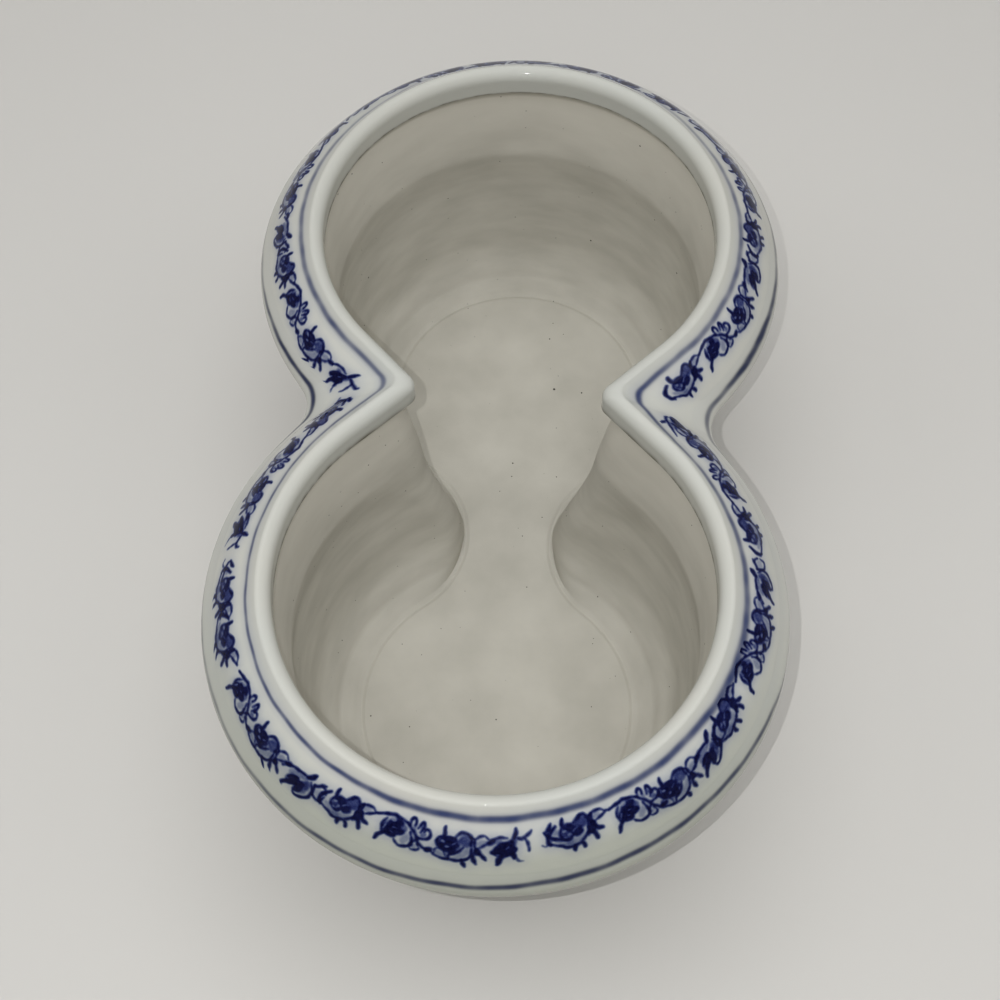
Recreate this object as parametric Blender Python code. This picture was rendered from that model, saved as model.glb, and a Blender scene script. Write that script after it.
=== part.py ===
# Double cachepot: two round pots cast as one figure-of-eight vessel, with a broad sloping rim,
# a rolled lip that comes to a point on each side of the waist, and one floor shared by both pots.
# Metres, +Z up. The origin is under the middle of the waist, on the plane that the foot stands on.
# The long axis through both pot centres is Y.
import bpy
import bmesh
from collections import namedtuple
from math import acos, atan2, cos, hypot, pi, radians, sin, sqrt

MM = 0.001

# Plan
CENTRE_OFFSET = 70.4 * MM       # from the middle of the waist to each pot's centre
OPENING_RADIUS = 70.7 * MM      # clear radius inside the glazed lip
LIP_POINT_OFFSET = 31.8 * MM    # from the middle to each lip point, at the waist
LIP_POINT_RADIUS = 4.5 * MM     # rounding of the lip point, seen from above

# Rim, from the lip's inner face outwards and from its crest downwards
LIP_FACE_HEIGHT = 10.2 * MM     # glazed inner face, crest to lower edge
LIP_CREST_OUT = 4.3 * MM
LIP_OUT = 7.8 * MM              # where the roll of the lip ends and the shoulder starts
LIP_DROP = 3.2 * MM
SHOULDER_OUT = 15.6 * MM
SHOULDER_DROP = 8.9 * MM
SHOULDER_POINT_RADIUS = 7.0 * MM
RIM_OUT = 24.9 * MM             # the rim's widest ring
RIM_DROP = 22.6 * MM
RIM_EDGE_RADIUS = 5.6 * MM      # rounding of the rim's outer edge
RIM_EDGE_START = radians(36)    # where the shoulder runs into that rounding, above level
RIM_POINT_RADIUS = 14.5 * MM    # rounding of the rim's waist, seen from above
UNDERSIDE_COVE = 11.0 * MM      # hollow between the rim's flat underside and the wall

# Inside
INNER_DEPTH = 114.9 * MM        # lip crest to floor panel
LIP_UNDERCUT = 1.9 * MM         # the bare wall stands back behind the glazed lip
LIP_UNDERCUT_DROP = 2.2 * MM
COLLAR_DEPTH = 43.2 * MM        # crest to the narrowest ring of the wall
COLLAR_RADIUS = 69.0 * MM
COLLAR_WAIST = 32.2 * MM        # half the passage between the pots at that ring
COLLAR_POINT_RADIUS = 11.5 * MM
BELLY_DEPTH = 65.0 * MM
BELLY_RADIUS = 70.0 * MM
BELLY_WAIST = 29.0 * MM
HEEL_RISE = 18.7 * MM           # where the wall turns into the cove, above the floor panel
HEEL_RADIUS = 66.2 * MM
HEEL_WAIST = 20.0 * MM
COVE_RISE = 4.7 * MM
COVE_RADIUS = 59.2 * MM
COVE_WAIST = 17.6 * MM
PANEL_RADIUS = 50.0 * MM        # raised floor panel, inside a shallow groove
PANEL_WAIST = 15.4 * MM
GROOVE_WIDTH = 1.6 * MM
GROOVE_DEPTH = 0.6 * MM

# Walls, glaze and foot
WALL = 6.0 * MM                 # clay and glaze together
CREASE_RADIUS = 1.5 * MM        # least rounding of a crease at the waist
FLOOR_THICKNESS = 6.0 * MM
FOOT_DEPTH = 4.0 * MM           # recess under the floor
FOOT_RADIUS = 61.6 * MM
FOOT_WAIST = 20.5 * MM
FOOT_WIDTH = 5.6 * MM
FOOT_EDGE = 0.8 * MM            # bevel of the foot's bare lower edges
RECESS_SLOPE = 2.0 * MM         # the recess under the floor narrows by this, on its upper half
GLAZE = 0.5 * MM
GLAZE_SEAT = 0.3 * MM           # between the glaze coat and the clay under it
BARE_FOOT = 5.5 * MM            # the glaze stops this high above the ground

# Mesh steps
ROLL_STEPS = 3
EDGE_STEPS = 3
COVE_STEPS = 3
SHOULDER_STEPS = 2
WALL_STEPS = 3
POINTS_PER_QUARTER = 18
WAIST_GRADING = 1.35            # closer points towards the waist

HEIGHT = FOOT_DEPTH + FLOOR_THICKNESS + INNER_DEPTH
PANEL_LEVEL = FOOT_DEPTH + FLOOR_THICKNESS

# One level of the pot: its height, the lobe circles' radius, the half width at the waist,
# and the rounding where the two lobes meet
Section = namedtuple("Section", "height lobe waist corner")


def clear_scene():
    for item in list(bpy.data.objects):
        bpy.data.objects.remove(item)


def flank_angle(lobe, waist, corner):
    # The straight flank touches the lobe circle and the corner circle on opposite sides.
    reach = waist + corner
    return atan2(CENTRE_OFFSET, reach) - acos(min(1, (lobe + corner) / hypot(CENTRE_OFFSET, reach)))


LIP_FLANK = flank_angle(OPENING_RADIUS, LIP_POINT_OFFSET, LIP_POINT_RADIUS)


def rim_section(out, drop, corner):
    # Every level of the rim keeps the lip's flank angle, so the border has an even width.
    lobe = OPENING_RADIUS + out
    waist = (lobe + corner - CENTRE_OFFSET * sin(LIP_FLANK)) / cos(LIP_FLANK) - corner
    return Section(HEIGHT - drop, lobe, waist, corner)


def round_corner(lobe, waist):
    # The corner circle that touches both lobe circles and leaves this half width between
    return (CENTRE_OFFSET ** 2 + waist ** 2 - lobe ** 2) / (2 * (lobe - waist))


def wall_section(height, lobe, waist):
    # Lobes that cross each other further out than the wanted waist set the waist themselves.
    crossing = sqrt(max(0, lobe ** 2 - CENTRE_OFFSET ** 2))
    waist = max(waist, crossing + CREASE_RADIUS)
    return Section(height, lobe, waist, round_corner(lobe, waist))


def quarter_outline(section):
    # From the back of the pot round to the waist: lobe arc, straight flank, corner arc
    lobe, waist = section.lobe, section.waist
    corner = max(min(section.corner, round_corner(lobe, waist)), 1e-5)
    flank = flank_angle(lobe, waist, corner)
    lobe_end = (lobe * cos(flank), CENTRE_OFFSET - lobe * sin(flank))
    corner_start = (waist + corner - corner * cos(flank), corner * sin(flank))
    arc = lobe * (pi / 2 + flank)
    straight = hypot(corner_start[0] - lobe_end[0], corner_start[1] - lobe_end[1])
    bend = corner * flank
    total = arc + straight + bend
    points = []
    for step in range(POINTS_PER_QUARTER + 1):
        way = total * (1 - (1 - step / POINTS_PER_QUARTER) ** WAIST_GRADING)
        if way <= arc:
            angle = pi / 2 - way / lobe
            points.append((lobe * cos(angle), CENTRE_OFFSET + lobe * sin(angle)))
        elif way <= arc + straight:
            share = (way - arc) / straight
            points.append(tuple(a + (b - a) * share for a, b in zip(lobe_end, corner_start)))
        else:
            angle = max(0, (total - way) / corner)
            points.append((waist + corner - corner * cos(angle), corner * sin(angle)))
    points[0] = (0, points[0][1])
    points[-1] = (points[-1][0], 0)
    return points


def ring(section):
    back = quarter_outline(section)
    right = back + [(x, -y) for x, y in reversed(back[:-1])]
    left = [(-x, y) for x, y in reversed(right[1:-1])]
    return [(x, y, section.height) for x, y in right + left]


def smooth_run(keys, steps):
    # A curve through the key sections, with extra levels between each pair
    ends = [tuple(2 * a - b for a, b in zip(keys[0], keys[1]))]
    ends += [tuple(key) for key in keys]
    ends += [tuple(2 * a - b for a, b in zip(keys[-1], keys[-2]))]
    run = []
    for before, start, end, after in zip(ends, ends[1:], ends[2:], ends[3:]):
        for step in range(steps):
            t = step / steps
            run.append(Section(*(
                0.5 * (2 * b + (c - a) * t + (2 * a - 5 * b + 4 * c - d) * t ** 2
                       + (3 * b - a - 3 * c + d) * t ** 3)
                for a, b, c, d in zip(before, start, end, after))))
    return run + [keys[-1]]


def offset_run(run, distance):
    # Moves a run of levels to its left side by a set distance, square to its profile
    moved = []
    for index, level in enumerate(run):
        before = run[max(index - 1, 0)]
        after = run[min(index + 1, len(run) - 1)]
        across, up = after.lobe - before.lobe, after.height - before.height
        length = hypot(across, up)
        side, lift = -up / length * distance, across / length * distance
        corner = max(level.corner - side, CREASE_RADIUS)
        moved.append(Section(level.height + lift, level.lobe + side, level.waist + side, corner))
    return moved


def lip_and_rim():
    # Finished outer surface from the lip's lower inner edge, over the crest, to the rim's underside
    edge_out = RIM_OUT - RIM_EDGE_RADIUS
    surface = [rim_section(0, LIP_FACE_HEIGHT, LIP_POINT_RADIUS)]
    for step in range(ROLL_STEPS):
        angle = step / ROLL_STEPS * pi / 2
        surface.append(rim_section(
            LIP_CREST_OUT * (1 - cos(angle)), LIP_CREST_OUT * (1 - sin(angle)), LIP_POINT_RADIUS))
    surface += smooth_run([
        rim_section(LIP_CREST_OUT, 0, LIP_POINT_RADIUS),
        rim_section(LIP_OUT, LIP_DROP, LIP_POINT_RADIUS),
        rim_section(SHOULDER_OUT, SHOULDER_DROP, SHOULDER_POINT_RADIUS),
        rim_section(edge_out + RIM_EDGE_RADIUS * cos(RIM_EDGE_START),
                    RIM_DROP - RIM_EDGE_RADIUS * sin(RIM_EDGE_START), RIM_POINT_RADIUS),
    ], SHOULDER_STEPS)
    for step in range(1, EDGE_STEPS + 1):
        angle = RIM_EDGE_START - step / EDGE_STEPS * (RIM_EDGE_START + pi / 2)
        surface.append(rim_section(edge_out + RIM_EDGE_RADIUS * cos(angle),
                                   RIM_DROP - RIM_EDGE_RADIUS * sin(angle), RIM_POINT_RADIUS))
    return surface


def inner_wall():
    # Bare inside surface, from the narrowest ring of the wall down to the cove
    return smooth_run([
        Section(HEIGHT - COLLAR_DEPTH, COLLAR_RADIUS, COLLAR_WAIST, COLLAR_POINT_RADIUS),
        wall_section(HEIGHT - BELLY_DEPTH, BELLY_RADIUS, BELLY_WAIST),
        wall_section(PANEL_LEVEL + HEEL_RISE, HEEL_RADIUS, HEEL_WAIST),
        wall_section(PANEL_LEVEL + COVE_RISE, COVE_RADIUS, COVE_WAIST),
    ], WALL_STEPS)


def underside(edge, neck):
    # Flat under the rim, then a cove into the wall, no larger than the room between them
    cove = min(UNDERSIDE_COVE, edge.height - neck.height - GLAZE, edge.lobe - neck.lobe - GLAZE)
    run = []
    for step in range(COVE_STEPS + 1):
        turn = step / COVE_STEPS
        out = neck.lobe - OPENING_RADIUS + cove * (1 - sin(turn * pi / 2))
        drop = HEIGHT - edge.height + cove * (1 - cos(turn * pi / 2))
        run.append(rim_section(out, drop, edge.corner + (neck.corner - edge.corner) * turn))
    return run


def finished_outside():
    # Glazed surface, from the lip's lower inner edge to the lower edge of the glaze
    rim = lip_and_rim()
    wall = offset_run(inner_wall(), WALL)
    foot_top = wall_section(BARE_FOOT, FOOT_RADIUS + GLAZE + GLAZE_SEAT,
                            FOOT_WAIST + GLAZE + GLAZE_SEAT)
    body = [level for level in wall if level.height > BARE_FOOT + GLAZE]
    return rim + underside(rim[-1], wall[0]) + body + [foot_top]


def loft(name, rings, closed, material):
    # Joins rings of equal count with faces; open ends are closed by a ladder across the pot.
    mesh = bmesh.new()
    rows = [[mesh.verts.new(point) for point in points] for points in rings]
    pairs = list(zip(rows, rows[1:]))
    if closed:
        pairs.append((rows[-1], rows[0]))
    for low, high in pairs:
        for index in range(len(low)):
            follower = (index + 1) % len(low)
            mesh.faces.new((low[index], low[follower], high[follower], high[index]))
    if not closed:
        for row in (rows[0], rows[-1]):
            half = len(row) // 2
            mesh.faces.new((row[0], row[1], row[-1]))
            for index in range(1, half - 1):
                mesh.faces.new((row[index], row[index + 1], row[-index - 1], row[-index]))
            mesh.faces.new((row[half - 1], row[half], row[half + 1]))
    bmesh.ops.recalc_face_normals(mesh, faces=mesh.faces)
    data = bpy.data.meshes.new(name)
    mesh.to_mesh(data)
    mesh.free()
    data.materials.append(material)
    data.shade_smooth()
    data.set_sharp_from_angle(angle=pi / 4)
    part = bpy.data.objects.new(name, data)
    bpy.context.collection.objects.link(part)
    return part


def finish(name, colour, roughness, coat):
    material = bpy.data.materials.new(name)
    material.use_nodes = True
    shader = material.node_tree.nodes["Principled BSDF"]
    shader.inputs["Base Color"].default_value = (*colour, 1)
    shader.inputs["Roughness"].default_value = roughness
    shader.inputs["Metallic"].default_value = 0
    shader.inputs["Coat Weight"].default_value = coat
    return material


def foot():
    # Bare foot ring and recessed underside, from the middle of the base outwards and up
    def level(inset, height):
        lobe, waist = FOOT_RADIUS - inset, FOOT_WAIST - inset
        return Section(height, lobe, waist, round_corner(lobe, waist))

    return [
        level(FOOT_WIDTH + RECESS_SLOPE, FOOT_DEPTH),
        level(FOOT_WIDTH, FOOT_DEPTH / 2),
        level(FOOT_WIDTH, FOOT_EDGE),
        level(FOOT_WIDTH - FOOT_EDGE, 0),
        level(FOOT_EDGE, 0),
        level(0, FOOT_EDGE),
    ]


def clay_body():
    # Foot, clay under the glaze, bare inner wall, cove, groove and floor panel
    under_glaze = offset_run(finished_outside(), -(GLAZE + GLAZE_SEAT))
    behind_lip = rim_section(LIP_UNDERCUT, LIP_FACE_HEIGHT + LIP_UNDERCUT_DROP, COLLAR_POINT_RADIUS)
    floor = [
        wall_section(PANEL_LEVEL - GROOVE_DEPTH, PANEL_RADIUS + GROOVE_WIDTH,
                     PANEL_WAIST + GROOVE_WIDTH),
        wall_section(PANEL_LEVEL, PANEL_RADIUS, PANEL_WAIST),
    ]
    levels = foot() + under_glaze[::-1] + [behind_lip] + inner_wall() + floor
    clay = finish("unglazed porcelain", (0.52, 0.50, 0.44), 0.85, 0)
    return loft("porcelain_body", [ring(level) for level in levels], False, clay)


def glaze_coat():
    # Clear glossy coat over the lip, the rim and the outside, down to the bare foot
    outside = finished_outside()
    inside = offset_run(outside, -GLAZE)
    levels = outside + inside[::-1]
    gloss = finish("glazed porcelain", (0.62, 0.66, 0.66), 0.08, 0.5)
    return loft("outer_glaze", [ring(level) for level in levels], True, gloss)


clear_scene()
clay_body()
glaze_coat()
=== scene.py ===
import math
import bpy
import numpy as np
from mathutils import Matrix, Vector


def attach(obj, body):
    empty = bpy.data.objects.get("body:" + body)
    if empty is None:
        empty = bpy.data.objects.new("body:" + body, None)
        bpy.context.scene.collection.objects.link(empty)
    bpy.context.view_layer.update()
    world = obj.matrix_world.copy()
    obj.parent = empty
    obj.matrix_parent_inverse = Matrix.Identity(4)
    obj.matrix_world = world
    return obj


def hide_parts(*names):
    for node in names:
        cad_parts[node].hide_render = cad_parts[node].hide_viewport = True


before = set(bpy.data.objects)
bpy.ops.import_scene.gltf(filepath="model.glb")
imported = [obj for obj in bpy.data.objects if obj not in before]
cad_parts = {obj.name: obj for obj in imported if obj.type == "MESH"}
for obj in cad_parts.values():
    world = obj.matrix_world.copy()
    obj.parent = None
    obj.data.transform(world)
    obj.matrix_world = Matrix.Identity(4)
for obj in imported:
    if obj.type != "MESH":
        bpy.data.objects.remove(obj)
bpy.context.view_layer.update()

# Double cachepot in blue and white porcelain. The pot is one figure-of-eight form, so every surface
# here is a stack of closed outlines. Lengths are in mm and turn to metres when a mesh is made.
mm = 0.001
crispFrom = math.radians(50)    # an edge sharper than this stays crisp
noiseSpan = {1: 0.3, 2: 0.7}    # noise lies mostly between these, and is spread out from them


def linearColour(hexCode):
    # sRGB hex to the linear numbers that shaders take
    values = [int(hexCode[place:place + 2], 16) / 255 for place in (1, 3, 5)]
    return [c / 12.92 if c <= 0.04045 else ((c + 0.055) / 1.055) ** 2.4 for c in values] + [1]


def addNode(tree, kind, settings=None, links=None):
    # a setting that is the node's own property is set there, and any other is an input
    node = tree.nodes.new(kind)
    for name, value in (settings or {}).items():
        if isinstance(name, str) and hasattr(node, name):
            setattr(node, name, value)
        else:
            node.inputs[name].default_value = value
    for name, source in (links or {}).items():
        tree.links.new(source, node.inputs[name])
    return node


# the form, worked out from the same sizes as the solids
form = {
    "centreOffset": 70.4,      # middle of the waist to a pot's centre
    "opening": 70.7,           # inside the glazed lip
    "lipPoint": 31.8,          # half width between the lip's points
    "lipCorner": 4.5,
    "lipFace": 10.2,           # glazed inner face, crest to lower edge
    "lipCrest": 4.3,
    "lipOut": 7.8, "lipDrop": 3.2,
    "shoulderOut": 15.6, "shoulderDrop": 8.9, "shoulderCorner": 7.0,
    "rimOut": 24.9, "rimDrop": 22.6, "rimEdge": 5.6, "rimCorner": 14.5,
    "rimEdgeStart": math.radians(36),
    "undersideCove": 11.0,
    "depth": 114.9, "floorThickness": 6.0, "footDepth": 4.0,
    "wall": 6.0, "glaze": 0.5, "seatGap": 0.3, "crease": 1.5, "bareFoot": 5.5,
    "footLobe": 61.6, "footWaist": 20.5, "footWidth": 5.6, "footBevel": 0.8, "recessSlope": 2.0,
}
height = form["depth"] + form["floorThickness"] + form["footDepth"]
panelLevel = form["floorThickness"] + form["footDepth"]


def flankAngle(lobe, waist, corner):
    # lean of the straight flank that runs from the lobe's arc to the corner's
    reach = waist + corner
    c = form["centreOffset"]
    return math.atan2(c, reach) - math.acos(min(1, (lobe + corner) / math.hypot(c, reach)))


lipFlank = flankAngle(form["opening"], form["lipPoint"], form["lipCorner"])


def rimSection(out, drop, corner):
    # (z, lobe radius, half width at the waist, corner radius), with the lip's flank angle kept
    lobe = form["opening"] + out
    waist = (lobe + corner - form["centreOffset"] * math.sin(lipFlank)) / math.cos(lipFlank) - corner
    return (height - drop, lobe, waist, corner)


def roundCorner(lobe, waist):
    # the corner radius that leaves no straight flank
    return (form["centreOffset"] ** 2 + waist ** 2 - lobe ** 2) / (2 * (lobe - waist))


def wallSection(z, lobe, waist):
    # a level with round flanks, no narrower at the waist than where its two lobes would cross
    crossing = math.sqrt(max(0, lobe ** 2 - form["centreOffset"] ** 2))
    waist = max(waist, crossing + form["crease"])
    return (z, lobe, waist, roundCorner(lobe, waist))


def quarterParts(section):
    # one quarter of a level: lobe arc, straight flank and corner arc, and where they meet
    z, lobe, waist, corner = section
    corner = max(min(corner, roundCorner(lobe, waist)), 0.01)
    flank = flankAngle(lobe, waist, corner)
    arcEnd = np.array([lobe * math.cos(flank), form["centreOffset"] - lobe * math.sin(flank)])
    bendStart = np.array([waist + corner - corner * math.cos(flank), corner * math.sin(flank)])
    straight = float(np.hypot(*(bendStart - arcEnd)))
    return corner, arcEnd, bendStart, lobe * (math.pi / 2 + flank), straight, corner * flank


def outline(section, stations):
    # points round one level; stations run 0 to 1 from the back of a pot to the waist
    z, lobe, waist, corner = section
    corner, arcEnd, bendStart, arc, straight, bend = quarterParts(section)
    c = form["centreOffset"]
    way = stations * (arc + straight + bend)
    onArc = np.stack([lobe * np.sin(way / lobe), c + lobe * np.cos(way / lobe)], 1)
    share = ((way - arc) / max(straight, 1e-6)).clip(0, 1)[:, None]
    onStraight = arcEnd + (bendStart - arcEnd) * share
    turn = ((arc + straight + bend - way) / corner).clip(0)
    onBend = np.stack([waist + corner - corner * np.cos(turn), corner * np.sin(turn)], 1)
    onFlank = np.where((way <= arc + straight)[:, None], onStraight, onBend)
    quarter = np.where((way <= arc)[:, None], onArc, onFlank)
    right = np.concatenate([quarter, quarter[-2::-1] * [1, -1]])
    ring = np.concatenate([right, right[-2:0:-1] * [-1, 1]])
    return np.column_stack([ring, np.full(len(ring), z)])


def splineKeys(keys):
    # each stretch between two keys, with the key before and the key after it
    keys = np.array(keys, float)
    ends = np.concatenate([[2 * keys[0] - keys[1]], keys, [2 * keys[-1] - keys[-2]]])
    return zip(ends, ends[1:], ends[2:], ends[3:])


def splineAt(b, a, c, d, t):
    # smooth curve from a to c, with b before it and d after it
    start = 2 * a + (c - b) * t
    return 0.5 * (start + (2 * b - 5 * a + 4 * c - d) * t ** 2 + (3 * a - b - 3 * c + d) * t ** 3)


def smoothRun(keys, steps):
    run = [splineAt(*stretch, t) for stretch in splineKeys(keys) for t in np.arange(steps) / steps]
    return [tuple(level) for level in run] + [tuple(keys[-1])]


def offsetRun(run, distance):
    # the same profile set out by a distance, or in by a negative one
    moved = []
    for index, level in enumerate(run):
        before, after = run[max(index - 1, 0)], run[min(index + 1, len(run) - 1)]
        outward, upward = after[1] - before[1], after[0] - before[0]
        length = math.hypot(outward, upward)
        side, lift = -upward / length * distance, outward / length * distance
        corner = max(level[3] - side, form["crease"])
        moved.append((level[0] + lift, level[1] + side, level[2] + side, corner))
    return moved


def distanceAlong(run):
    # mm walked along a profile to each of its levels
    return np.concatenate([[0], np.cumsum(np.hypot(np.diff(run[:, 0]), np.diff(run[:, 1])))])


def resample(run, spacing):
    # levels set evenly along the profile, so that faces stay near square
    run = np.array(run)
    walked = distanceAlong(run)
    count = max(2, int(round(walked[-1] / spacing)) + 1)
    at = np.linspace(0, walked[-1], count)
    return [tuple(np.interp(t, walked, run[:, k]) for k in range(4)) for t in at]


rimSteps = {"roll": 16, "shoulder": 24, "edge": 24}


def rimProfile():
    # finished profile of the rim, from the lip's lower edge to the rim's edge
    f = form
    face = [rimSection(0, f["lipFace"], f["lipCorner"])]
    roll = [rimSection(f["lipCrest"] * (1 - math.cos(a)), f["lipCrest"] * (1 - math.sin(a)), f["lipCorner"])
            for a in np.linspace(0, math.pi / 2, rimSteps["roll"] + 1)[:-1]]
    edgeOut = f["rimOut"] - f["rimEdge"]
    keys = [
        rimSection(f["lipCrest"], 0, f["lipCorner"]),
        rimSection(f["lipOut"], f["lipDrop"], f["lipCorner"]),
        rimSection(f["shoulderOut"], f["shoulderDrop"], f["shoulderCorner"]),
        rimSection(edgeOut + f["rimEdge"] * math.cos(f["rimEdgeStart"]),
                   f["rimDrop"] - f["rimEdge"] * math.sin(f["rimEdgeStart"]), f["rimCorner"]),
    ]
    shoulder = smoothRun(keys, rimSteps["shoulder"])
    edge = [rimSection(edgeOut + f["rimEdge"] * math.cos(a), f["rimDrop"] - f["rimEdge"] * math.sin(a),
                       f["rimCorner"])
            for a in np.linspace(f["rimEdgeStart"], -math.pi / 2, rimSteps["edge"] + 1)[1:]]
    return face + roll + shoulder + edge


profile = np.array(rimProfile())
walked = distanceAlong(profile)
# distances across the border count from the inner painted line, where the lip's roll ends
pastCrest = slice(rimSteps["roll"] + 1, 60)    # levels that each lie further out than the last
across = walked - np.interp(form["opening"] + form["lipOut"], profile[pastCrest, 1], walked[pastCrest])


def rimLevel(v):
    return tuple(np.interp(v, across, profile[:, k]) for k in range(4))


borderMiddle = 9.3    # mm out from the inner painted line
middleParts = quarterParts(rimLevel(borderMiddle))[3:]
wholeWay = 4 * sum(middleParts)


def alongBorder(section, stations):
    # mm round the border's middle line: by share of the lobe's arc, then by share of the flank and corner
    arc, straight, bend = quarterParts(section)[3:]
    way = stations * (arc + straight + bend)
    onLobe, past = np.minimum(way, arc) / arc, (way - arc).clip(0) / (straight + bend)
    return onLobe * middleParts[0] + past * sum(middleParts[1:])


def finishedWall():
    # outside wall below the rim: cove under the rim, then the inside's shape set out by the wall
    wall = offsetRun(innerWall(), form["wall"])
    edge, neck = tuple(profile[-1]), wall[0]
    cove = min(form["undersideCove"], edge[0] - neck[0] - form["glaze"], edge[1] - neck[1] - form["glaze"])
    run = []
    for t in np.linspace(0, 1, coatLook["coveSteps"] + 1):
        turn = t * math.pi / 2
        out = neck[1] - form["opening"] + cove * (1 - math.sin(turn))
        drop = height - edge[0] + cove * (1 - math.cos(turn))
        run.append(rimSection(out, drop, edge[3] + (neck[3] - edge[3]) * t))
    seat = form["glaze"] + form["seatGap"]
    footTop = wallSection(form["bareFoot"], form["footLobe"] + seat, form["footWaist"] + seat)
    body = [level for level in wall if level[0] > form["bareFoot"] + form["glaze"]]
    return resample([edge] + run + body + [footTop], coatLook["wallStep"])


inside = {
    "undercut": 1.9, "undercutDrop": 2.2,
    "collar": (43.2, 69.0, 32.2, 11.5),    # depth below the crest, lobe, waist, corner
    "belly": (65.0, 70.0, 29.0),
    "heel": (18.7, 66.2, 20.0),            # rise above the floor panel, lobe, waist
    "cove": (4.7, 59.2, 17.6),
    "panel": (50.0, 15.4), "groove": 2.8, "grooveDepth": 0.55,    # shallow groove round the floor panel
    "steps": 16,
}


def innerWall():
    i = inside
    return smoothRun([
        (height - i["collar"][0], *i["collar"][1:]),
        wallSection(height - i["belly"][0], *i["belly"][1:]),
        wallSection(panelLevel + i["heel"][0], *i["heel"][1:]),
        wallSection(panelLevel + i["cove"][0], *i["cove"][1:]),
    ], i["steps"])


def gradedStations(count, grading):
    # stations that come closer together towards the waist
    return 1 - (1 - np.arange(count + 1) / count) ** grading


def buildMesh(name, points, faces, material, values=None):
    # points in mm; faces as an array of quads, or a list of arrays
    mesh = bpy.data.meshes.new(name)
    faces = [np.asarray(f, np.int32) for f in (faces if isinstance(faces, list) else [faces])]
    loops = np.concatenate([f.ravel() for f in faces])
    sizes = np.concatenate([np.full(len(f), f.shape[1]) for f in faces])
    mesh.vertices.add(len(points))
    mesh.vertices.foreach_set("co", (np.asarray(points, np.float32) * mm).ravel())
    mesh.loops.add(len(loops))
    mesh.loops.foreach_set("vertex_index", loops)
    mesh.polygons.add(len(sizes))
    mesh.polygons.foreach_set("loop_start", np.concatenate([[0], np.cumsum(sizes)[:-1]]).astype(np.int32))
    mesh.update(calc_edges=True)
    mesh.validate()
    # faces turn outward when the closed form would count as a negative volume
    at = np.asarray(points)
    corners = [(f[:, 0], f[:, k], f[:, k + 1]) for f in faces for k in range(1, f.shape[1] - 1)]
    volume = sum((at[a] * np.cross(at[b], at[c])).sum() for a, b, c in corners)
    if volume < 0:
        mesh.flip_normals()
    for key, numbers in (values or {}).items():
        attribute = mesh.attributes.new(key, "FLOAT", "POINT")
        attribute.data.foreach_set("value", np.asarray(numbers, np.float32).ravel())
    mesh.materials.append(material)
    mesh.shade_smooth()
    mesh.set_sharp_from_angle(angle=crispFrom)
    piece = bpy.data.objects.new(name, mesh)
    bpy.context.scene.collection.objects.link(piece)
    return piece


def ringFaces(rows, columns, closed):
    # quads between neighbouring rings; closed joins the last ring to the first
    row = np.arange(rows if closed else rows - 1)[:, None]
    col = np.arange(columns)[None, :]
    nextRow, nextCol = (row + 1) % rows, (col + 1) % columns
    corners = np.broadcast_arrays(row * columns + col, nextRow * columns + col,
                                  nextRow * columns + nextCol, row * columns + nextCol)
    return np.stack(corners, -1).reshape(-1, 4)


def gridFaces(rows, columns, start):
    corner = start + np.arange(rows - 1)[:, None] * columns + np.arange(columns - 1)[None, :]
    return np.stack([corner, corner + 1, corner + columns + 1, corner + columns], -1).reshape(-1, 4)


def capRows(ring, cells):
    # points of a flat floor between the right and left halves of a ring, one line per pair
    half = len(ring) // 2
    right, left = ring[1:half], ring[:half:-1]
    share = (np.arange(1, cells) / cells)[None, :, None]
    return right[:, None] * (1 - share) + left[:, None] * share


def capFaces(start, columns, firstNew, cells):
    # quads across that floor; the two ends close with triangles
    half = columns // 2
    lines = []
    for pair in range(1, half):
        new = firstNew + (pair - 1) * (cells - 1) + np.arange(cells - 1)
        lines.append(np.concatenate([[start + pair], new, [start + columns - pair]]))
    lines = np.array(lines)
    quads = np.stack([lines[:-1, :-1], lines[:-1, 1:], lines[1:, 1:], lines[1:, :-1]], -1).reshape(-1, 4)
    first = np.stack([np.full(cells, start), lines[0, 1:], lines[0, :-1]], -1)
    last = np.stack([np.full(cells, start + half), lines[-1, :-1], lines[-1, 1:]], -1)
    return quads, np.concatenate([first, last])


# camera at the photograph's angle: fitted place, aim and roll
view = {
    "aim": (-0.13, -42.6, height - form["lipDrop"]), "distance": 494.3,
    "azimuth": 3.957, "elevation": 61.092, "roll": -0.488, "lens": 54.93, "sensor": 36, "clipStart": 10,
}
az, el, roll = (math.radians(view[key]) for key in ("azimuth", "elevation", "roll"))
back = Vector((math.sin(az) * math.cos(el), -math.cos(az) * math.cos(el), math.sin(el)))
level = Vector((math.cos(az), math.sin(az), 0))
upward = back.cross(level)
camera = bpy.data.objects.new("camera", bpy.data.cameras.new("camera"))
bpy.context.scene.collection.objects.link(camera)
xAxis = level * math.cos(roll) + upward * math.sin(roll)
yAxis = back.cross(xAxis)
eye = Matrix.Translation((Vector(view["aim"]) + back * view["distance"]) * mm)
camera.matrix_world = eye @ Matrix((xAxis, yAxis, back)).transposed().to_4x4()
camera.data.lens = view["lens"]
camera.data.sensor_width = view["sensor"]
camera.data.clip_start = view["clipStart"] * mm
bpy.context.scene.camera = camera
print("camera set")


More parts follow.
